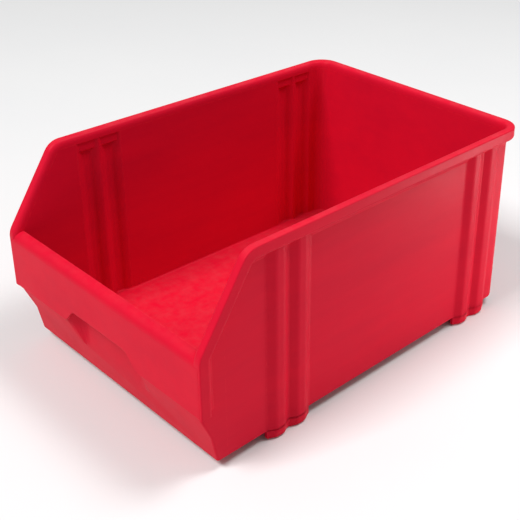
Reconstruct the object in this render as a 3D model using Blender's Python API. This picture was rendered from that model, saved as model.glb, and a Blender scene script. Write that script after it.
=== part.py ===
"""A stackable picking bin with a hopper front, one injection moulding drawn as the regions it is made of.

The origin is at the bottom centre. +X is the bin's right hand seen from the front, +Y runs from
the hopper front to the back, and +Z is up. The bin stands on the feet under its ribs.
"""

import math

import bmesh
import bpy

# Driving dimensions, in metres
LENGTH = 0.450
FRONT_WIDTH = 0.314
REAR_WIDTH = 0.304
HEIGHT = 0.220
FOOT_DROP = 0.010
WALL = 0.003
GAP = 0.0003

RIM_OUT = 0.0075
RIM_DEPTH = 0.012
RIM_ROUND = 0.0012

LIP_HEIGHT = 0.135
SLANT_RUN = 0.057
PANEL_BOTTOM = 0.072
TOE_TOP = 0.040
TOE_TOP_SETBACK = 0.016
TOE_SETBACK = 0.022

GRIP_HALF_WIDTH = 0.062
GRIP_EASE = 0.020
GRIP_RISE = 0.016
GRIP_STEPS = 6

RIB_OUT = 0.005
RIB_WIDTH = 0.0275
RIB_FLANK = 0.009
RIB_INSET_SHARE = 0.26
PAIR_CENTRES = {"front": 0.110, "rear": 0.391}
FOOT_ROUND = 0.0025

# Places worked out from the driving dimensions
FRONT = -LENGTH / 2
BACK = LENGTH / 2
BACK_OUTER = BACK - RIM_OUT
BACK_INNER = BACK_OUTER - WALL
RIM_UNDER = HEIGHT - RIM_DEPTH
FLOOR_TOP = FOOT_DROP + WALL

RED = (0.62, 0.006, 0.018, 1.0)
DEEP_RED = (0.50, 0.005, 0.018, 1.0)


def clear_scene():
    for item in list(bpy.data.objects):
        bpy.data.objects.remove(item, do_unlink=True)


def plastic(name, colour):
    material = bpy.data.materials.new(name)
    material.use_nodes = True
    shader = material.node_tree.nodes["Principled BSDF"]
    shader.inputs["Base Color"].default_value = colour
    shader.inputs["Roughness"].default_value = 0.42
    shader.inputs["Metallic"].default_value = 0.0
    return material


def add_node(name, bm, colour=RED):
    """Turns a bmesh into a named object with its own plastic material."""
    bmesh.ops.recalc_face_normals(bm, faces=bm.faces)
    mesh = bpy.data.meshes.new(name)
    bm.to_mesh(mesh)
    bm.free()
    node = bpy.data.objects.new(name, mesh)
    bpy.context.collection.objects.link(node)
    mesh.materials.append(plastic(name + "_plastic", colour))
    return node


def prism(lower, upper):
    """A closed solid between two outlines that have the same number of points."""
    bm = bmesh.new()
    low = [bm.verts.new(point) for point in lower]
    high = [bm.verts.new(point) for point in upper]
    bm.faces.new(low)
    bm.faces.new(high)
    for i in range(len(low)):
        j = (i + 1) % len(low)
        bm.faces.new((low[i], low[j], high[j], high[i]))
    return bm


def half_width(y):
    """Half of the rim's width at y: the bin is a little wider at its open front."""
    share = (y - FRONT) / LENGTH
    return (FRONT_WIDTH + (REAR_WIDTH - FRONT_WIDTH) * share) / 2


def wall_outer(y):
    return half_width(y) - RIM_OUT


def wall_inner(y):
    return wall_outer(y) - WALL


def side_plate(name, outline, side, inner, outer, colour=RED):
    """A plate on one side of the bin, from a (y, z) outline and two distances from the middle."""
    near = [(side * inner(y), y, z) for y, z in outline]
    far = [(side * outer(y), y, z) for y, z in outline]
    return add_node(name, prism(near, far), colour)


def cross_bar(name, outline, y_fit):
    """A bar across the bin between the side walls, from a (y, z) outline."""
    reach = wall_inner(y_fit) - GAP
    near = [(-reach, y, z) for y, z in outline]
    far = [(reach, y, z) for y, z in outline]
    return add_node(name, prism(near, far))


def round_edges(node, width):
    bevel = node.modifiers.new("rounded_edges", "BEVEL")
    bevel.width = width
    bevel.segments = 2
    bevel.limit_method = "ANGLE"
    bevel.angle_limit = math.radians(40)


def inset_path(points, distance):
    """The (y, z) path moved to its right by a distance, with mitred corners."""
    moved = []
    for i, (y, z) in enumerate(points):
        normals = []
        if i > 0:
            normals.append(right_normal(points[i - 1], points[i]))
        if i < len(points) - 1:
            normals.append(right_normal(points[i], points[i + 1]))
        ny = sum(n[0] for n in normals) / len(normals)
        nz = sum(n[1] for n in normals) / len(normals)
        scale = distance / (ny * ny + nz * nz)
        moved.append((y + ny * scale, z + nz * scale))
    return moved


def right_normal(start, end):
    dy = end[0] - start[0]
    dz = end[1] - start[1]
    length = math.hypot(dy, dz)
    return dz / length, -dy / length


def pull_in(start, end, distance):
    """The two ends of a segment, each moved towards the other by a distance."""
    length = math.hypot(end[0] - start[0], end[1] - start[1])
    step_y = (end[0] - start[0]) / length * distance
    step_z = (end[1] - start[1]) / length * distance
    return (start[0] + step_y, start[1] + step_z), (end[0] - step_y, end[1] - step_z)


# The side view of the rim, from the bottom of the front panel up and round to the back
RIM_PATH = [
    (FRONT, PANEL_BOTTOM),
    (FRONT, LIP_HEIGHT),
    (FRONT + SLANT_RUN, HEIGHT),
    (BACK, HEIGHT),
]
RIM_INNER_PATH = inset_path(RIM_PATH, RIM_DEPTH)
WALL_PATH = inset_path(RIM_PATH, RIM_DEPTH + GAP)
RIM_STRETCHES = ("front_edge_rim", "slanted_rim", "side_rim")


def side_rims(side_name, side):
    """The outward flange: up the front edge, up the slant, and along the top of one side."""
    for i, stretch in enumerate(RIM_STRETCHES):
        outer_start, outer_end = pull_in(RIM_PATH[i], RIM_PATH[i + 1], GAP / 2)
        inner_start, inner_end = pull_in(RIM_INNER_PATH[i], RIM_INNER_PATH[i + 1], GAP / 2)
        outline = [outer_start, outer_end, inner_end, inner_start]
        name = side_name + "_" + stretch
        round_edges(side_plate(name, outline, side, wall_inner, half_width), RIM_ROUND)


def rib_edges(pair):
    centre = FRONT + PAIR_CENTRES[pair]
    return centre - RIB_WIDTH, centre + RIB_WIDTH


def side_walls(side_name, side):
    """The three flat stretches of one side wall, before, between and behind the rib pairs."""
    front_start, front_end = rib_edges("front")
    rear_start, rear_end = rib_edges("rear")
    under_rim = RIM_UNDER - GAP
    front_stretch = [
        (FRONT + TOE_SETBACK, FOOT_DROP),
        (front_start - GAP, FOOT_DROP),
        (front_start - GAP, under_rim),
        WALL_PATH[2],
        WALL_PATH[1],
        (FRONT + RIM_DEPTH + GAP, PANEL_BOTTOM - GAP),
        (FRONT + GAP, PANEL_BOTTOM - GAP),
        (FRONT + TOE_TOP_SETBACK, TOE_TOP),
    ]
    side_plate(side_name + "_front_wall", front_stretch, side, wall_inner, wall_outer)
    for name, start, end in (
        ("_middle_wall", front_end + GAP, rear_start - GAP),
        ("_rear_wall", rear_end + GAP, BACK_OUTER),
    ):
        stretch = [(start, FOOT_DROP), (end, FOOT_DROP), (end, under_rim), (start, under_rim)]
        side_plate(side_name + name, stretch, side, wall_inner, wall_outer)


def rib_outline(start, side, inset, back_off):
    """The plan of one rib: a flat-topped wave in the wall, moved inwards by an inset."""
    end = start + RIB_WIDTH
    shift = inset * RIB_INSET_SHARE
    foot_in = start + shift
    foot_out = end - shift
    crest_in = start + RIB_FLANK + shift
    crest_out = end - RIB_FLANK - shift
    points = [
        (wall_inner(start) - back_off, foot_in),
        (wall_outer(start) - inset, foot_in),
        (wall_outer(start) + RIB_OUT - inset, crest_in),
        (wall_outer(end) + RIB_OUT - inset, crest_out),
        (wall_outer(end) - inset, foot_out),
        (wall_inner(end) - back_off, foot_out),
    ]
    return [(side * x, y) for x, y in points]


def rib(name, start, side):
    """One hollow rib with its foot: solid from the foot's sole to the floor, then a flute."""
    body_plan = rib_outline(start, side, 0.0, 0.0)
    top = RIM_UNDER - GAP
    body = prism([(x, y, 0.0) for x, y in body_plan], [(x, y, top) for x, y in body_plan])
    sole_edges = []
    for edge in body.edges:
        on_sole = all(vert.co.z < FOOT_DROP / 2 for vert in edge.verts)
        outside = all(abs(vert.co.x) > wall_inner(BACK) + WALL / 2 for vert in edge.verts)
        if on_sole and outside:
            sole_edges.append(edge)
    bmesh.ops.bevel(body, geom=sole_edges, offset=FOOT_ROUND, segments=3, profile=0.5, affect="EDGES")
    node = add_node(name, body)

    flute_plan = rib_outline(start, side, WALL, WALL)
    flute = prism(
        [(x, y, FLOOR_TOP) for x, y in flute_plan],
        [(x, y, top + WALL) for x, y in flute_plan],
    )
    cutter = add_node(name + "_flute", flute, DEEP_RED)
    cutter.hide_render = True
    cutter.display_type = "WIRE"
    cut = node.modifiers.new("flute", "BOOLEAN")
    cut.operation = "DIFFERENCE"
    cut.solver = "EXACT"
    cut.object = cutter


def ribs(side_name, side):
    for pair in PAIR_CENTRES:
        start, _ = rib_edges(pair)
        rib(side_name + "_" + pair + "_rib_fore", start, side)
        rib(side_name + "_" + pair + "_rib_aft", start + RIB_WIDTH + GAP, side)


def floor():
    front = FRONT + TOE_SETBACK + WALL + GAP
    back = BACK_INNER - GAP
    plan = [
        (-wall_inner(front) + GAP, front),
        (wall_inner(front) - GAP, front),
        (wall_inner(back) - GAP, back),
        (-wall_inner(back) + GAP, back),
    ]
    lower = [(x, y, FOOT_DROP) for x, y in plan]
    upper = [(x, y, FLOOR_TOP) for x, y in plan]
    add_node("floor_panel", prism(lower, upper), DEEP_RED)


def back():
    top = RIM_UNDER - GAP
    wall = [(BACK_INNER, FOOT_DROP), (BACK_OUTER, FOOT_DROP), (BACK_OUTER, top), (BACK_INNER, top)]
    cross_bar("back_wall", wall, BACK_OUTER)
    rim = [(BACK_INNER, RIM_UNDER), (BACK, RIM_UNDER), (BACK, HEIGHT), (BACK_INNER, HEIGHT)]
    round_edges(cross_bar("back_rim", rim, BACK), RIM_ROUND)


def grip_rise(x):
    """How much the front panel's lower edge rises at x, to leave room for fingers in the middle."""
    share = (GRIP_HALF_WIDTH - abs(x)) / GRIP_EASE
    share = min(max(share, 0.0), 1.0)
    return GRIP_RISE * share * share * (3 - 2 * share)


def grip_columns(reach):
    """The x places that the curved lower edge needs, from one side to the other."""
    bend = [GRIP_HALF_WIDTH - GRIP_EASE * i / GRIP_STEPS for i in range(GRIP_STEPS + 1)]
    right = [reach] + bend
    return [-x for x in right] + [x for x in reversed(right)]


def front():
    """The hopper front: lip, panel with its finger grip, the slope under it, and the toe."""
    reach = wall_inner(FRONT) - GAP
    lip_under = LIP_HEIGHT - RIM_DEPTH
    lip_back = FRONT + RIM_OUT + WALL
    lip = [(FRONT, lip_under), (lip_back, lip_under), (lip_back, LIP_HEIGHT), (FRONT, LIP_HEIGHT)]
    round_edges(cross_bar("front_lip", lip, FRONT), RIM_ROUND)

    columns = grip_columns(reach)
    outline = [(x, PANEL_BOTTOM + grip_rise(x)) for x in columns]
    outline += [(reach, lip_under - GAP), (-reach, lip_under - GAP)]
    near = [(x, FRONT, z) for x, z in outline]
    far = [(x, FRONT + WALL, z) for x, z in outline]
    add_node("front_panel", prism(near, far))

    slope_run = TOE_TOP_SETBACK
    slope_wall = WALL * 1.15
    bm = bmesh.new()
    rings = []
    for x in columns:
        high = PANEL_BOTTOM + grip_rise(x) - GAP
        ring = (
            (x, FRONT, high),
            (x, FRONT + slope_run, TOE_TOP),
            (x, FRONT + slope_run + slope_wall, TOE_TOP),
            (x, FRONT + slope_wall, high),
        )
        rings.append([bm.verts.new(point) for point in ring])
    for first, second in zip(rings, rings[1:]):
        for i in range(4):
            j = (i + 1) % 4
            bm.faces.new((first[i], first[j], second[j], second[i]))
    bm.faces.new(rings[0])
    bm.faces.new(rings[-1])
    add_node("front_grip_slope", bm, DEEP_RED)

    toe = [
        (FRONT + TOE_SETBACK, FOOT_DROP),
        (FRONT + TOE_SETBACK + WALL, FOOT_DROP),
        (FRONT + TOE_TOP_SETBACK + WALL, TOE_TOP - GAP),
        (FRONT + TOE_TOP_SETBACK, TOE_TOP - GAP),
    ]
    cross_bar("front_toe", toe, FRONT + TOE_SETBACK)


def build():
    clear_scene()
    floor()
    back()
    front()
    for side_name, side in (("left", -1), ("right", 1)):
        side_walls(side_name, side)
        ribs(side_name, side)
        side_rims(side_name, side)


build()
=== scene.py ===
"""A stackable picking bin with a hopper front: the looks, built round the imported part."""
import math

import bmesh
import bpy
from mathutils import Matrix, Vector


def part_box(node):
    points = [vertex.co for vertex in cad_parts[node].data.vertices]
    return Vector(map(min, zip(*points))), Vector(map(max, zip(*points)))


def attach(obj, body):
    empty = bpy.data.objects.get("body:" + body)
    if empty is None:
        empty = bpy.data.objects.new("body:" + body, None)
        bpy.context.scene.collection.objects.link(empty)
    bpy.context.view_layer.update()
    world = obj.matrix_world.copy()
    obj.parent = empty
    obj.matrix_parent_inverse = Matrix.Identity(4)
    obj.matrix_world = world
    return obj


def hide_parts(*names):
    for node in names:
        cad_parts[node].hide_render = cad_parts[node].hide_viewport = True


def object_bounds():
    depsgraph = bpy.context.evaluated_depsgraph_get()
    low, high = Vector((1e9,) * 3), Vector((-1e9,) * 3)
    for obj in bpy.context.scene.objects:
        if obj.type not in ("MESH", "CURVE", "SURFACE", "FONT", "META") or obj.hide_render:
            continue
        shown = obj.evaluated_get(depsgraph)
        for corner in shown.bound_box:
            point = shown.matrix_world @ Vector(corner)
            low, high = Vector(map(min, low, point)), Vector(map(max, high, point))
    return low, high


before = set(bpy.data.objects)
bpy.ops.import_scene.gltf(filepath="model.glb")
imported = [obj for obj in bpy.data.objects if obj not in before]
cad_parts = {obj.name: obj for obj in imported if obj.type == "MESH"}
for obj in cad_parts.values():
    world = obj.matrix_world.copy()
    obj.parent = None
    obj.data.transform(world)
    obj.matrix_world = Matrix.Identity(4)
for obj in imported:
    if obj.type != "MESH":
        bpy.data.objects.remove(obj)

cad_low, cad_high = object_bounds()


# ---------------------------------------------------------------------------------------------
# The shell: the bin's walls and floor, 3 mm thick. The real bin is one injection moulding in
# polypropylene, so the shell is made as the mould makes it: an outer form with the pressed-out
# ribs, and a core that leaves one wall's thickness inside it.
# ---------------------------------------------------------------------------------------------
TINY = 0.0002
WALL = 0.003
FRONT = cad_low.y
BACK = cad_high.y
TOP = cad_high.z
RIM_OUT = 0.0075
RIM_SEAT = 0.009
FRONT_REACH = cad_high.x - RIM_OUT
BASE, FLOOR_TOP = (corner.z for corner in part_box("floor_panel"))
BACK_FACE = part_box("back_wall")[1].y
CAD_GAP = 0.0003
BACK_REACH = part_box("back_wall")[1].x + WALL + CAD_GAP
TAPER = (FRONT_REACH - BACK_REACH) / (BACK_FACE - FRONT)
PANEL_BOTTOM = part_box("right_front_edge_rim")[0].z
LIP_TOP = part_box("front_lip")[1].z
SLANT_TOP_Y = FRONT + 0.057
TOE_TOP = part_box("front_toe")[1].z
TOE_SETBACK = 0.022
TOE_TOP_SETBACK = 0.016
PANEL_BACKING = 0.0015
GRIP_HALF = 0.062
GRIP_EASE = 0.020
GRIP_RISE = 0.016
GRIP_DEPTH = 0.0135
GRIP_STEPS = [side * (GRIP_HALF - GRIP_EASE * i / 8) for side in (-1, 1) for i in range(9)]
GRIP_ROOF = PANEL_BOTTOM + 0.032
RIB_HEIGHT = 0.005
RIB_WIDTH = 0.0275
RIB_FLANK = 0.009
RIB_STARTS = (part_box("right_front_rib_fore")[0].y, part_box("right_rear_rib_fore")[0].y)
RIB_INSET_SHARE = 0.26
WALL_CORNER = 0.016
BEND_ROUND = 0.0022
CORE_BEND_ROUND = 0.0007
FRONT_ROUND = 0.0022
CORE_FRONT_ROUND = 0.0015
BASE_ROUND = 0.0018
FLOOR_FILLET = 0.0024
OUTER_TOP = TOP + 0.02
CORE_TOP = TOP + 0.03
SIDES_ONLY = 0.1
FRONT_ONLY = FRONT + 0.03


def only(piece):
    """Makes one object the selected and active one."""
    bpy.ops.object.select_all(action="DESELECT")
    piece.select_set(True)
    bpy.context.view_layer.objects.active = piece


def block(name, low, high):
    """A block added at its size and place."""
    bpy.ops.object.select_all(action="DESELECT")
    low, high = Vector(low), Vector(high)
    bpy.ops.mesh.primitive_cube_add(size=1, location=(low + high) / 2, scale=high - low)
    bpy.ops.object.transform_apply(location=True, rotation=True, scale=True)
    made = bpy.context.active_object
    made.name = made.data.name = name
    return made


def pick(kind, test):
    """In edit mode, selects only the corners, edges or faces whose points pass a test."""
    bpy.ops.mesh.select_mode(type=kind)
    bpy.ops.mesh.select_all(action="DESELECT")
    bm = bmesh.from_edit_mesh(bpy.context.active_object.data)
    parts = {"VERT": bm.verts, "EDGE": bm.edges, "FACE": bm.faces}[kind]
    for part in parts:
        points = [part.co] if kind == "VERT" else [corner.co for corner in part.verts]
        if test(points):
            part.select_set(True)
    bmesh.update_edit_mesh(bpy.context.active_object.data)


def near(value, target):
    return abs(value - target) < TINY


def upright(points):
    """True for an edge that stands straight up."""
    return near(points[0].x, points[1].x) and near(points[0].y, points[1].y)


def round_off(kind, test, width, segments):
    """Rounds the edges that pass a test."""
    pick(kind, test)
    bpy.ops.mesh.bevel(
        offset=width, segments=segments, profile=0.5, affect="EDGES", clamp_overlap=False
    )


def side_at(y):
    """How far the side wall's outer face stands from the middle at y."""
    return FRONT_REACH - TAPER * (y - FRONT)


def grip_rise(x):
    """How much the panel's lower edge rises at x, where fingers reach under it."""
    share = min(max((GRIP_HALF - abs(x)) / GRIP_EASE, 0.0), 1.0)
    return GRIP_RISE * share * share * (3 - 2 * share)


def shape_front(front, under):
    """Pulls the block's front in to the toe and the slope, and lifts the slope over the grip."""
    for height in (TOE_TOP, PANEL_BOTTOM, GRIP_ROOF):
        bpy.ops.mesh.select_all(action="SELECT")
        bpy.ops.mesh.bisect(plane_co=(0, 0, height), plane_no=(0, 0, 1))
    for height, setback in ((under, TOE_SETBACK), (TOE_TOP, TOE_TOP_SETBACK)):
        pick("VERT", lambda p: near(p[0].y, front) and near(p[0].z, height))
        bpy.ops.transform.translate(value=(0, setback - PANEL_BACKING, 0))
    for x in GRIP_STEPS:
        pick("FACE", lambda p: all(q.y < FRONT_ONLY and q.z > TOE_TOP - TINY for q in p))
        bpy.ops.mesh.bisect(plane_co=(x, 0, 0), plane_no=(1, 0, 0))
    for x in GRIP_STEPS:
        pick("VERT", lambda p: near(p[0].x, x) and near(p[0].y, front) and near(p[0].z, PANEL_BOTTOM))
        rise = grip_rise(x)
        bpy.ops.transform.translate(value=(0, GRIP_DEPTH * rise / GRIP_RISE, rise))


def rib_places(shift):
    """The y places of the rib's bends: first all of them, then those on the crests."""
    bends, crests = set(), set()
    for start in RIB_STARTS:
        for rib_start in (start, start + RIB_WIDTH):
            end = rib_start + RIB_WIDTH
            bends.update((rib_start + shift, end - shift))
            crests.update((rib_start + RIB_FLANK + shift, end - RIB_FLANK - shift))
    return sorted(bends | crests), sorted(crests)


def press_ribs(shift):
    """Presses the ribs out of both sides of the block, and rounds their bends."""
    places, crests = rib_places(shift)
    for y in places:
        bpy.ops.mesh.select_mode(type="FACE")
        bpy.ops.mesh.select_all(action="SELECT")
        bpy.ops.mesh.bisect(plane_co=(0, y, 0), plane_no=(0, 1, 0))
    for side in (-1, 1):
        pick("VERT", lambda p: side * p[0].x > SIDES_ONLY and any(near(p[0].y, y) for y in crests))
        bpy.ops.transform.translate(value=(side * RIB_HEIGHT, 0, 0))
    bpy.ops.mesh.select_all(action="SELECT")
    bpy.ops.mesh.dissolve_limited(angle_limit=math.radians(0.2))
    in_wall = [y for y in places if y not in crests]
    wall_round = BEND_ROUND if shift == 0 else CORE_BEND_ROUND
    for bends, width in ((crests, BEND_ROUND), (in_wall, wall_round)):
        at_bend = lambda p: any(near(p[0].y, y) for y in bends)
        pick("EDGE", lambda p: upright(p) and abs(p[0].x) > SIDES_ONLY and at_bend(p))
        bpy.ops.mesh.bevel(offset=width, segments=4, affect="EDGES")


def new_form(name, inset, under, over):
    """The tapered block that both the outer form and the core start from, left in edit mode."""
    front = FRONT + PANEL_BACKING + inset
    back = BACK_FACE - inset
    made = block(name, (-1, front, under), (1, back, over))
    only(made)
    bpy.ops.object.mode_set(mode="EDIT")
    for y in (front, back):
        pick("VERT", lambda p: near(p[0].y, y))
        bpy.ops.transform.resize(value=(side_at(y) - inset, 1, 1), center_override=(0, 0, 0))
    return made, front, back


outer, front, back = new_form("outer_form", 0, BASE, OUTER_TOP)
press_ribs(0)
shape_front(front, BASE)
round_off("EDGE", lambda p: upright(p) and near(p[0].y, back), WALL_CORNER, 8)
bpy.ops.object.mode_set(mode="OBJECT")

# The feet go straight on down from the ribs, so their form is taken before the base is rounded.
foot_form = outer.copy()
foot_form.data = outer.data.copy()
foot_form.name = foot_form.data.name = "foot_form"
bpy.context.collection.objects.link(foot_form)

only(outer)
bpy.ops.object.mode_set(mode="EDIT")
front_side = lambda q: abs(q.x) > SIDES_ONLY and q.y < FRONT_ONLY
along_front = lambda p: near(p[0].x, p[1].x) and all(front_side(q) for q in p)
round_off("EDGE", along_front, FRONT_ROUND, 4)


def off_the_ribs(y):
    return not any(start - TINY < y < start + 2 * RIB_WIDTH + TINY for start in RIB_STARTS)


def base_edge(p):
    """True for an edge of the outline at the base, away from the ribs."""
    low = all(near(q.z, BASE) for q in p)
    middle = (p[0] + p[1]) / 2
    edge_on = abs(middle.x) > side_at(middle.y) - WALL_CORNER * 0.3 - TINY and off_the_ribs(middle.y)
    edge_on = edge_on and not (near(p[0].y, p[1].y) and FRONT_ONLY < middle.y < BACK_FACE - TINY)
    at_front = middle.y < FRONT + TOE_SETBACK + 0.0005
    at_back = near(middle.y, BACK_FACE)
    return low and (edge_on or at_front or at_back)


round_off("EDGE", base_edge, BASE_ROUND, 3)
slant_run = Vector((0, SLANT_TOP_Y - FRONT, TOP - LIP_TOP)).normalized()
slant_out = Vector((0, -slant_run.z, slant_run.y))
for point, facing in (
    (Vector((0, FRONT, LIP_TOP)) - slant_out * RIM_SEAT, slant_out),
    (Vector((0, 0, TOP - RIM_SEAT)), Vector((0, 0, 1))),
):
    bpy.ops.mesh.select_all(action="SELECT")
    bpy.ops.mesh.bisect(plane_co=point, plane_no=facing, use_fill=True, clear_outer=True)
bpy.ops.object.mode_set(mode="OBJECT")

core, front, back = new_form("core_form", WALL, FLOOR_TOP, CORE_TOP)
press_ribs(WALL * RIB_INSET_SHARE)
shape_front(front, FLOOR_TOP)
round_off("EDGE", lambda p: upright(p) and near(p[0].y, back), WALL_CORNER - WALL, 8)
round_off("EDGE", along_front, CORE_FRONT_ROUND, 3)


pick("FACE", lambda p: all(near(q.z, FLOOR_TOP) for q in p))
bpy.ops.mesh.region_to_loop()
bpy.ops.mesh.bevel(offset=FLOOR_FILLET, segments=4, affect="EDGES", clamp_overlap=False)
bpy.ops.object.mode_set(mode="OBJECT")

only(outer)
cut = outer.modifiers.new("core", "BOOLEAN")
cut.operation, cut.solver, cut.object = "DIFFERENCE", "EXACT", core
bpy.ops.object.modifier_apply(modifier="core")
bpy.data.objects.remove(core)


def part_of(source, name, planes):
    """A copy of a form, with all that lies outside the planes cut away and the cuts closed."""
    made = source.copy()
    made.data = source.data.copy()
    made.name = made.data.name = name
    bpy.context.collection.objects.link(made)
    only(made)
    bpy.ops.object.mode_set(mode="EDIT")
    for point, facing in planes:
        bpy.ops.mesh.select_all(action="SELECT")
        bpy.ops.mesh.bisect(plane_co=point, plane_no=facing, use_fill=True, clear_outer=True)
    bpy.ops.object.mode_set(mode="OBJECT")
    return made


def join(pieces):
    """Joins pieces into the first of them."""
    only(pieces[0])
    for piece in pieces:
        piece.select_set(True)
    bpy.ops.object.join()
    return pieces[0]


def finish_piece(piece, material, nodes):
    """Gives a piece its shading, material and body, and hides the part's nodes that it stands for."""
    piece.data.materials.clear()
    piece.data.materials.append(material)
    only(piece)
    bpy.ops.object.shade_smooth_by_angle(angle=math.radians(28))
    weighted = piece.modifiers.new("even_shading", "WEIGHTED_NORMAL")
    weighted.keep_sharp = True
    weighted.weight = 100
    bpy.ops.object.modifier_apply(modifier="even_shading")
    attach(piece, "root")
    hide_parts(*nodes)


# ---------------------------------------------------------------------------------------------
# The red plastic: pigmented polypropylene with the mould's own grain. It comes off the press
# finished, so what it gains later is rubbed edges, scuffs and dust, more on some pieces than others.
# ---------------------------------------------------------------------------------------------
FRESH_RED = (0.690, 0.0060, 0.0290, 1)
DEEP_RED = (0.610, 0.0055, 0.0280, 1)
RUBBED_RED = (0.800, 0.0300, 0.0480, 1)
DUST_GREY = (0.420, 0.3600, 0.3300, 1)
GRAIN_SCALE = 1500.0
GRAIN_DEPTH = 0.00012
SHEEN_SPREAD = 0.035


def add_node(tree, kind, settings, feeds):
    """Adds a node with its settings, and feeds each named or numbered input a value or a link."""
    made = tree.nodes.new("ShaderNode" + kind)
    for name, value in settings.items():
        setattr(made, name, value)
    for name, value in feeds.items():
        if isinstance(value, bpy.types.NodeSocket):
            tree.links.new(value, made.inputs[name])
        else:
            made.inputs[name].default_value = value
    return made


def new_group(name, inputs, outputs):
    """An empty node group with its sockets."""
    group = bpy.data.node_groups.new(name, "ShaderNodeTree")
    for label, kind, value in inputs:
        socket = group.interface.new_socket(name=label, in_out="INPUT", socket_type="NodeSocket" + kind)
        socket.default_value = value
    for label, kind in outputs:
        group.interface.new_socket(name=label, in_out="OUTPUT", socket_type="NodeSocket" + kind)
    return group, group.nodes.new("NodeGroupInput").outputs, group.nodes.new("NodeGroupOutput").inputs


def noise(tree, scale, detail, vector=None):
    """A noise pattern laid in the piece's own coordinates, or in the vector given."""
    if vector is None:
        vector = tree.nodes.new("ShaderNodeTexCoord").outputs["Object"]
    feeds = {"Vector": vector, "Scale": scale, "Detail": detail, "Roughness": 0.6}
    return add_node(tree, "TexNoise", {}, feeds).outputs["Fac"]


def spread(tree, value, low, high, to_low=0.0, to_high=1.0):
    """Maps a value's range from low to high onto another range, and holds it there."""
    feeds = {"Value": value, "From Min": low, "From Max": high, "To Min": to_low, "To Max": to_high}
    return add_node(tree, "MapRange", {}, feeds).outputs["Result"]


def maths(tree, operation, first, second):
    return add_node(tree, "Math", {"operation": operation}, {0: first, 1: second}).outputs["Value"]


def blend_colour(tree, share, first, second):
    mixed = add_node(tree, "Mix", {"data_type": "RGBA"}, {"Factor": share, 6: first, 7: second})
    return mixed.outputs[2]


def stretched(tree, turn, scale):
    """The piece's own coordinates, turned and stretched into streaks."""
    place = tree.nodes.new("ShaderNodeTexCoord").outputs["Object"]
    feeds = {"Vector": place, "Rotation": turn, "Scale": scale}
    return add_node(tree, "Mapping", {}, feeds).outputs["Vector"]


# The mould's spark-eroded surface: a fine grain on top of a slight, slow unevenness.
moulded_grain, given, result = new_group(
    "moulded_grain",
    [("Grain Scale", "Float", GRAIN_SCALE)],
    [("Height", "Float"), ("Sheen Patches", "Float")],
)
fine = maths(moulded_grain, "MULTIPLY", noise(moulded_grain, given["Grain Scale"], 2.0), 0.4)
slow = maths(moulded_grain, "MULTIPLY", noise(moulded_grain, 120.0, 1.0), 0.6)
moulded_grain.links.new(maths(moulded_grain, "ADD", fine, slow), result["Height"])
patches = spread(moulded_grain, noise(moulded_grain, 38.0, 4.0), 0.3, 0.7)
moulded_grain.links.new(patches, result["Sheen Patches"])

# Pigment that the flow of the melt has drawn out unevenly.
pigment_drift, given, result = new_group(
    "pigment_drift",
    [("Fresh", "Color", (1, 0, 0, 1)), ("Deep", "Color", (0.5, 0, 0, 1)), ("Drift", "Float", 1.0)],
    [("Colour", "Color")],
)
clouds = noise(pigment_drift, 9.0, 5.0, stretched(pigment_drift, (0, 0, 0), (1, 0.5, 2.2)))
streaks = noise(pigment_drift, 60.0, 3.0, stretched(pigment_drift, (0.1, 0, 0), (1, 0.12, 1)))
clouds = maths(pigment_drift, "MULTIPLY", clouds, 0.7)
streaks = maths(pigment_drift, "MULTIPLY", streaks, 0.3)
drifting = spread(pigment_drift, maths(pigment_drift, "ADD", clouds, streaks), 0.36, 0.66)
drifting = maths(pigment_drift, "MULTIPLY", drifting, given["Drift"])
drifted = blend_colour(pigment_drift, drifting, given["Fresh"], given["Deep"])
pigment_drift.links.new(drifted, result["Colour"])

# Edges rubbed pale and smooth by handling and stacking, in broken stretches.
edge_wear, given, result = new_group("edge_wear", [("Width", "Float", 0.001)], [("Worn", "Float")])
true_normal = edge_wear.nodes.new("ShaderNodeNewGeometry").outputs["Normal"]
rounded = add_node(edge_wear, "Bevel", {"samples": 4}, {"Radius": given["Width"]}).outputs["Normal"]
turned = add_node(edge_wear, "VectorMath", {"operation": "DOT_PRODUCT"}, {0: true_normal, 1: rounded})
at_edge = spread(edge_wear, turned.outputs["Value"], 0.97, 0.80)
broken = spread(edge_wear, noise(edge_wear, 210.0, 4.0), 0.42, 0.62)
edge_wear.links.new(maths(edge_wear, "MULTIPLY", at_edge, broken), result["Worn"])

# Short fine scuffs, all roughly one way, where goods and other bins slide past.
sliding_scuffs, given, result = new_group(
    "sliding_scuffs", [("Turn", "Vector", (0, 0, 0)), ("Cover", "Float", 0.5)], [("Scuffed", "Float")]
)
lines = noise(sliding_scuffs, 22.0, 3.0, stretched(sliding_scuffs, given["Turn"], (30.0, 1.6, 30.0)))
patches = spread(sliding_scuffs, noise(sliding_scuffs, 13.0, 2.0), 0.5, 0.7)
scuffed = maths(sliding_scuffs, "MULTIPLY", spread(sliding_scuffs, lines, 0.60, 0.70), patches)
sliding_scuffs.links.new(maths(sliding_scuffs, "MULTIPLY", scuffed, given["Cover"]), result["Scuffed"])

# A thin film of store-room dust on what faces up.
settled_dust, given, result = new_group("settled_dust", [("Film", "Float", 0.05)], [("Dusty", "Float")])
surface = settled_dust.nodes.new("ShaderNodeNewGeometry").outputs["Normal"]
facing = add_node(settled_dust, "SeparateXYZ", {}, {0: surface})
level = spread(settled_dust, facing.outputs["Z"], 0.55, 0.95)
specks = spread(settled_dust, noise(settled_dust, 75.0, 6.0), 0.35, 0.75)
dusty = maths(settled_dust, "MULTIPLY", level, specks)
dusty = maths(settled_dust, "MULTIPLY", dusty, given["Film"])
settled_dust.links.new(dusty, result["Dusty"])


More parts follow.
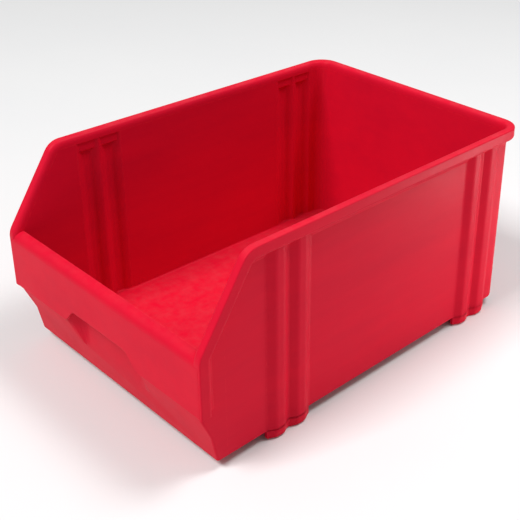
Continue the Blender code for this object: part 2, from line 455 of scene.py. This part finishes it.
def red_plastic(name, wear_width, wear, scuff_turn, scuffs, dust, roughness):
    """Red polypropylene with its own share of grain, drift, wear, scuffs and dust."""
    material = bpy.data.materials.new(name)
    material.use_nodes = True
    tree = material.node_tree
    shader = tree.nodes["Principled BSDF"]

    def use(group, feeds):
        settings = {"node_tree": group, "name": group.name, "label": group.name}
        return add_node(tree, "Group", settings, feeds).outputs

    grain = use(moulded_grain, {"Grain Scale": GRAIN_SCALE})
    colour = use(pigment_drift, {"Fresh": FRESH_RED, "Deep": DEEP_RED, "Drift": 1.0})["Colour"]
    worn = maths(tree, "MULTIPLY", use(edge_wear, {"Width": wear_width})["Worn"], wear)
    scuffed = use(sliding_scuffs, {"Turn": scuff_turn, "Cover": scuffs})["Scuffed"]
    dusty = use(settled_dust, {"Film": dust})["Dusty"]
    rubbed = maths(tree, "MAXIMUM", worn, scuffed)
    colour = blend_colour(tree, rubbed, colour, RUBBED_RED)
    tree.links.new(blend_colour(tree, dusty, colour, DUST_GREY), shader.inputs["Base Color"])

    smoothest, roughest = roughness - SHEEN_SPREAD, roughness + SHEEN_SPREAD
    rough = spread(tree, grain["Sheen Patches"], 0, 1, smoothest, roughest)
    rough = maths(tree, "ADD", rough, maths(tree, "MULTIPLY", scuffed, 0.25))
    rough = maths(tree, "SUBTRACT", rough, maths(tree, "MULTIPLY", worn, 0.12))
    rough = maths(tree, "ADD", rough, dusty)
    tree.links.new(rough, shader.inputs["Roughness"])
    height = maths(tree, "SUBTRACT", grain["Height"], maths(tree, "MULTIPLY", scuffed, 0.5))
    bump = add_node(tree, "Bump", {}, {"Height": height, "Strength": 0.35, "Distance": GRAIN_DEPTH})
    tree.links.new(bump.outputs["Normal"], shader.inputs["Normal"])
    shader.inputs["Specular IOR Level"].default_value = 0.30
    shader.inputs["IOR"].default_value = 1.2
    return material


# ---------------------------------------------------------------------------------------------
# The floor tray: the flat floor inside the bin, moulded in one with the walls. Goods slide over
# it, so it is the most scuffed and dusty piece.
# ---------------------------------------------------------------------------------------------
EDGE_X = 0.137
FRONT_CUT = FRONT + 0.034
BACK_CUT = BACK_FACE - WALL - 0.006
ahead, behind = Vector((0, -1, 0)), Vector((0, 1, 0))
inside = [((EDGE_X, 0, 0), (1, 0, 0)), ((-EDGE_X, 0, 0), (-1, 0, 0))]

floor_plastic = red_plastic(
    "floor_red_polypropylene",
    wear_width=0.0012,
    wear=0.35,
    scuff_turn=(0, 0, 0.22),
    scuffs=0.60,
    dust=0.06,
    roughness=0.47,
)
floor_cuts = [((0, FRONT_CUT, 0), ahead), ((0, BACK_CUT, 0), behind)]
floor_tray = part_of(outer, "floor_tray", inside + floor_cuts)
finish_piece(floor_tray, floor_plastic, ["floor_panel"])


# ---------------------------------------------------------------------------------------------
# The back panel: the plain back wall of the moulding, 3 mm thick, between the rounded corners.
# ---------------------------------------------------------------------------------------------
wall_plastic = red_plastic(
    "wall_red_polypropylene",
    wear_width=0.0012,
    wear=0.35,
    scuff_turn=(0, 0, 0.05),
    scuffs=0.22,
    dust=0.03,
    roughness=0.44,
)
back_panel = part_of(outer, "back_panel", inside + [((0, BACK_CUT, 0), ahead)])
finish_piece(back_panel, wall_plastic, ["back_wall"])


# ---------------------------------------------------------------------------------------------
# The hopper's toe: the set-back foot of the front, the slope above it and the finger recess
# pressed into that slope, all moulded in one with the floor and the walls.
# ---------------------------------------------------------------------------------------------
front_plastic = red_plastic(
    "front_red_polypropylene",
    wear_width=0.0014,
    wear=0.40,
    scuff_turn=(0, 0, 1.50),
    scuffs=0.22,
    dust=0.03,
    roughness=0.43,
)
hopper_toe = part_of(outer, "hopper_toe", [((0, FRONT_CUT, 0), behind)])
finish_piece(hopper_toe, front_plastic, ["front_toe", "front_grip_slope"])


# ---------------------------------------------------------------------------------------------
# The side walls and their ribs: thin flat panels, stiffened by two pairs of hollow ribs on each
# side. Each rib runs on below the base as a foot, which stands on the rim of the bin below.
# ---------------------------------------------------------------------------------------------
FOOT_ROUND = 0.0036
FOOT_LAP = 0.002
SOLE_STEPS = 5
rib_plastic = red_plastic(
    "rib_red_polypropylene",
    wear_width=0.0016,
    wear=0.50,
    scuff_turn=(0, 0, 0.05),
    scuffs=0.30,
    dust=0.03,
    roughness=0.44,
)


def shape_sole(side, start, foot):
    """Draws a pair of feet down from the ribs, rounding in towards the sole."""
    only(foot)
    bpy.ops.object.mode_set(mode="EDIT")
    pick("FACE", lambda p: all(near(q.z, BASE) for q in p))
    bpy.ops.mesh.extrude_region_move(TRANSFORM_OT_translate={"value": (0, 0, FOOT_ROUND - BASE)})
    middle = start + RIB_WIDTH
    inner = Vector((side * (side_at(middle) - WALL), middle, 0))
    depth, reach = RIB_HEIGHT + WALL, RIB_WIDTH
    for i in range(SOLE_STEPS):
        start_angle = math.radians(90 * i / SOLE_STEPS)
        end_angle = math.radians(90 * (i + 1) / SOLE_STEPS)
        pulled = FOOT_ROUND * (1 - math.cos(end_angle))
        before = FOOT_ROUND * (1 - math.cos(start_angle))
        drop = FOOT_ROUND * (math.sin(end_angle) - math.sin(start_angle))
        bpy.ops.mesh.extrude_region_move(TRANSFORM_OT_translate={"value": (0, 0, -drop)})
        shrink = ((depth - pulled) / (depth - before), (reach - pulled) / (reach - before), 1)
        bpy.ops.transform.resize(value=shrink, center_override=inner)
    bpy.ops.object.mode_set(mode="OBJECT")


SPANS = {
    "front_wall": (FRONT_CUT, RIB_STARTS[0]),
    "middle_wall": (RIB_STARTS[0] + 2 * RIB_WIDTH, RIB_STARTS[1]),
    "rear_wall": (RIB_STARTS[1] + 2 * RIB_WIDTH, BACK),
}
for side_name, side in (("left", -1), ("right", 1)):
    outward = ((side * EDGE_X, 0, 0), (-side, 0, 0))
    for span, (start, end) in SPANS.items():
        cuts = [outward, ((0, start, 0), ahead), ((0, end, 0), behind)]
        wall = part_of(outer, side_name + "_" + span + "_panel", cuts)
        finish_piece(wall, wall_plastic, [side_name + "_" + span])
    for pair, start in zip(("front", "rear"), RIB_STARTS):
        end = start + 2 * RIB_WIDTH
        span = [((0, start, 0), ahead), ((0, end, 0), behind)]
        name = side_name + "_" + pair + "_ribs"
        flutes = part_of(outer, name, [outward] + span)
        foot_in = (side * (side_at(start) - WALL), start, 0)
        foot_cuts = [(foot_in, (-side, -TAPER, 0)), ((0, 0, BASE + FOOT_LAP), (0, 0, 1))]
        foot = part_of(foot_form, name + "_feet", span + foot_cuts)
        shape_sole(side, start, foot)
        flutes = join([flutes, foot])
        stem = side_name + "_" + pair + "_rib_"
        finish_piece(flutes, rib_plastic, [stem + "fore", stem + "aft"])
bpy.data.objects.remove(outer)
bpy.data.objects.remove(foot_form)


# ---------------------------------------------------------------------------------------------
# The hopper front's panel and its rolled lip: one plate of the moulding, 3 mm thick, that stands
# across the bin's whole width in front of the walls, with room for fingers under its lower edge.
# ---------------------------------------------------------------------------------------------
PANEL_REACH = FRONT_REACH + 0.0045
PROUD = 0.00015
LIP_ROLL = 0.0100
LIP_DEPTH = 0.0125
LIP_ROOT = LIP_TOP - 0.012
LIP_SPLAY = 0.007

panel = block(
    "front_panel_and_lip",
    (-PANEL_REACH, FRONT - PROUD, PANEL_BOTTOM),
    (PANEL_REACH, FRONT + WALL - TINY, LIP_TOP),
)
only(panel)
bpy.ops.object.mode_set(mode="EDIT")
bpy.ops.mesh.select_all(action="SELECT")
bpy.ops.mesh.bisect(plane_co=(0, 0, LIP_ROOT), plane_no=(0, 0, 1))
pick("FACE", lambda p: all(near(q.y, FRONT + WALL - TINY) and q.z > LIP_ROOT - TINY for q in p))
bpy.ops.mesh.extrude_region_move(TRANSFORM_OT_translate={"value": (0, LIP_DEPTH - WALL, 0)})
pick("VERT", lambda p: near(p[0].z, LIP_ROOT) and FRONT + TINY < p[0].y < FRONT + WALL + TINY)
bpy.ops.transform.translate(value=(0, 0, -LIP_SPLAY))
bpy.ops.mesh.select_all(action="SELECT")
bpy.ops.mesh.dissolve_limited(angle_limit=math.radians(0.2))
for x in GRIP_STEPS:
    bpy.ops.mesh.select_all(action="SELECT")
    bpy.ops.mesh.bisect(plane_co=(x, 0, 0), plane_no=(1, 0, 0))
for x in GRIP_STEPS:
    pick("VERT", lambda p: near(p[0].x, x) and near(p[0].z, PANEL_BOTTOM))
    bpy.ops.transform.translate(value=(0, 0, grip_rise(x)))
across = lambda p: near(p[0].y, p[1].y) and not near(p[0].x, p[1].x)
outer_lip = lambda p: across(p) and near(p[0].y, FRONT - PROUD) and near(p[0].z, LIP_TOP)
round_off("EDGE", outer_lip, LIP_ROLL, 10)
round_off("EDGE", lambda p: across(p) and p[0].y > FRONT + 0.009 and near(p[0].z, LIP_TOP), 0.0018, 4)
lower = lambda p: across(p) and all(q.z < PANEL_BOTTOM + GRIP_RISE + TINY for q in p)
round_off("EDGE", lower, 0.0011, 3)
bpy.ops.object.mode_set(mode="OBJECT")
finish_piece(panel, front_plastic, ["front_panel", "front_lip"])


# ---------------------------------------------------------------------------------------------
# The stacking rim: an outward bead moulded along the top of the walls, with a flat land that the
# feet of the next bin stand on, a rounded outer face and a cove that runs down into the wall.
# ---------------------------------------------------------------------------------------------
SECTION = (
    (-3.0, 9.0), (-2.95, 6.6), (-2.65, 4.3), (-2.0, 2.3), (-1.0, 0.9), (0.2, 0.2), (1.2, 0.0),
    (5.9, 0.0), (6.5, 0.12), (6.98, 0.45), (7.25, 0.95), (7.35, 1.6), (7.35, 7.9), (7.5, 8.6),
    (7.45, 9.8), (7.15, 11.0), (6.5, 11.95), (5.6, 12.5), (4.6, 12.85), (3.3, 13.5), (2.2, 14.5),
    (1.3, 15.8), (0.6, 17.3), (0.15, 18.9), (-0.05, 19.8), (-0.6, 19.8), (-1.5, 18.6), (-1.5, 9.0),
)
BEND = 0.0205
turn_low = math.atan2(slant_run.y, slant_run.z)
turn_high = math.pi / 2 - turn_low
lean = math.atan(TAPER)
outwards = Vector((math.cos(lean), math.sin(lean), 0))
along = Vector((-math.sin(lean), math.cos(lean), 0))

bpy.ops.object.select_all(action="DESELECT")
bpy.ops.mesh.primitive_circle_add(vertices=len(SECTION), fill_type="NGON")
rim = bpy.context.active_object
rim.name = rim.data.name = "stacking_rim"
foot_of_rim = Vector((FRONT_REACH, FRONT, PANEL_BOTTOM))
for vertex, (out, down) in zip(rim.data.vertices, SECTION):
    vertex.co = foot_of_rim + outwards * out / 1000 + along * down / 1000

place, heading, inwards = foot_of_rim.copy(), Vector((0, 0, 1)), along.copy()
bpy.ops.object.mode_set(mode="EDIT")
bpy.ops.mesh.select_mode(type="FACE")
bpy.ops.mesh.select_all(action="SELECT")


def run_on(length):
    """Draws the rim's end on along its heading."""
    global place
    bpy.ops.mesh.extrude_region_move(TRANSFORM_OT_translate={"value": heading * length})
    place = place + heading * length


def turn(radius, angle, axis, toward, steps):
    """Turns the rim's end about a centre that lies a radius away from its outer line."""
    global place, heading
    centre = place + toward * radius
    bpy.ops.mesh.spin(steps=steps, angle=angle, center=centre, axis=-axis, use_auto_merge=False)

    spun = Matrix.Rotation(angle, 3, axis)
    place = centre + spun @ (place - centre)
    heading = spun @ heading
    return spun @ toward


low_cut, high_cut = BEND * math.tan(turn_low / 2), BEND * math.tan(turn_high / 2)
run_on(LIP_TOP - PANEL_BOTTOM - low_cut)
inwards = turn(BEND, turn_low, -outwards, inwards, 6)
run_on(math.hypot(SLANT_TOP_Y - FRONT, TOP - LIP_TOP) - low_cut - high_cut)
inwards = turn(BEND, turn_high, -outwards, inwards, 10)
turn_back = math.pi / 2 - lean
corner_cut = WALL_CORNER * math.tan(turn_back / 2)
corner_y = BACK_FACE - corner_cut * math.cos(lean)
run_on((corner_y - place.y) / math.cos(lean))
turn(WALL_CORNER, turn_back, Vector((0, 0, 1)), -outwards, 10)
run_on(place.x)
bpy.ops.mesh.delete(type="FACE")
bpy.ops.object.mode_set(mode="OBJECT")
only(rim)
mirror = rim.modifiers.new("other_side", "MIRROR")
mirror.use_axis = (True, False, False)
mirror.merge_threshold = 0.00005
bpy.ops.object.modifier_apply(modifier="other_side")
bpy.ops.object.mode_set(mode="EDIT")
bpy.ops.mesh.select_all(action="SELECT")
bpy.ops.mesh.remove_doubles(threshold=0.00001)
bpy.ops.mesh.normals_make_consistent(inside=False)
bpy.ops.object.mode_set(mode="OBJECT")
rim_plastic = red_plastic(
    "rim_red_polypropylene",
    wear_width=0.0016,
    wear=0.60,
    scuff_turn=(0, 0, 0.02),
    scuffs=0.55,
    dust=0.06,
    roughness=0.42,
)
rim_parts = ("front_edge_rim", "slanted_rim", "side_rim")
rim_nodes = [side + part for side in ("left_", "right_") for part in rim_parts]
finish_piece(rim, rim_plastic, rim_nodes + ["back_rim"])


# ---------------------------------------------------------------------------------------------
# The stage: a plain pale floor, soft studio lights and the camera.
# ---------------------------------------------------------------------------------------------
bpy.ops.object.select_all(action="DESELECT")
bpy.ops.mesh.primitive_plane_add(size=12, location=(0, 0, 0))
ground = bpy.context.active_object
ground.name = ground.data.name = "pale_floor"
pale = bpy.data.materials.new("pale_floor")
pale.use_nodes = True
pale_shader = pale.node_tree.nodes["Principled BSDF"]
mottled = spread(pale.node_tree, noise(pale.node_tree, 3.0, 4.0), 0.3, 0.7)
pale_colour = blend_colour(pale.node_tree, mottled, (0.780, 0.780, 0.780, 1), (0.765, 0.767, 0.770, 1))
pale.node_tree.links.new(pale_colour, pale_shader.inputs["Base Color"])
pale_grain = noise(pale.node_tree, 400.0, 3.0)
pale_feeds = {"Height": pale_grain, "Strength": 0.1, "Distance": 0.0003}
pale_bump = add_node(pale.node_tree, "Bump", {}, pale_feeds)
pale.node_tree.links.new(pale_bump.outputs["Normal"], pale_shader.inputs["Normal"])
pale_shader.inputs["Roughness"].default_value = 0.8
ground.data.materials.append(pale)

world = bpy.data.worlds.new("studio")
bpy.context.scene.world = world
world.use_nodes = True
world.node_tree.nodes["Background"].inputs["Color"].default_value = (1, 1, 1, 1)
world.node_tree.nodes["Background"].inputs["Strength"].default_value = 0.30


def soft_light(name, place, aim, size, power):
    """A square soft light that faces a point."""
    lamp = bpy.data.lights.new(name, "AREA")
    lamp.shape, lamp.size, lamp.energy = "SQUARE", size, power
    lamp_object = bpy.data.objects.new(name, lamp)
    bpy.context.collection.objects.link(lamp_object)
    lamp_object.location = place
    lamp_object.visible_camera = False
    lamp_object.rotation_euler = (Vector(aim) - Vector(place)).to_track_quat("-Z", "Y").to_euler()


soft_light("key", (-0.40, -3.2, 4.6), (0, 0, 0.1), 1.6, 240)
soft_light("right", (0.70, 0.90, 2.4), (0, 0.05, 0.1), 0.9, 32)
soft_light("low", (0.42, 0.47, 0.04), (0.14, 0.16, 0.05), 0.14, 1.0)
bpy.context.scene.view_settings.view_transform = "Standard"

lens = bpy.data.cameras.new("camera")
camera = bpy.data.objects.new("camera", lens)
bpy.context.collection.objects.link(camera)
bpy.context.scene.camera = camera
azimuth, elevation, distance = math.radians(47.09), math.radians(27.51), 1.1053
level = math.cos(elevation)
looking_back = Vector((math.sin(azimuth) * level, -math.cos(azimuth) * level, math.sin(elevation)))
camera.location = Vector((-0.0033, 0.020, 0.1279)) + looking_back * distance
camera.rotation_euler = (-looking_back).to_track_quat("-Z", "Y").to_euler()
lens.sensor_width = 36
lens.lens = 70.65
lens.shift_x = -0.0452
lens.shift_y = -0.0908
lens.clip_start, lens.clip_end = 0.05, 50
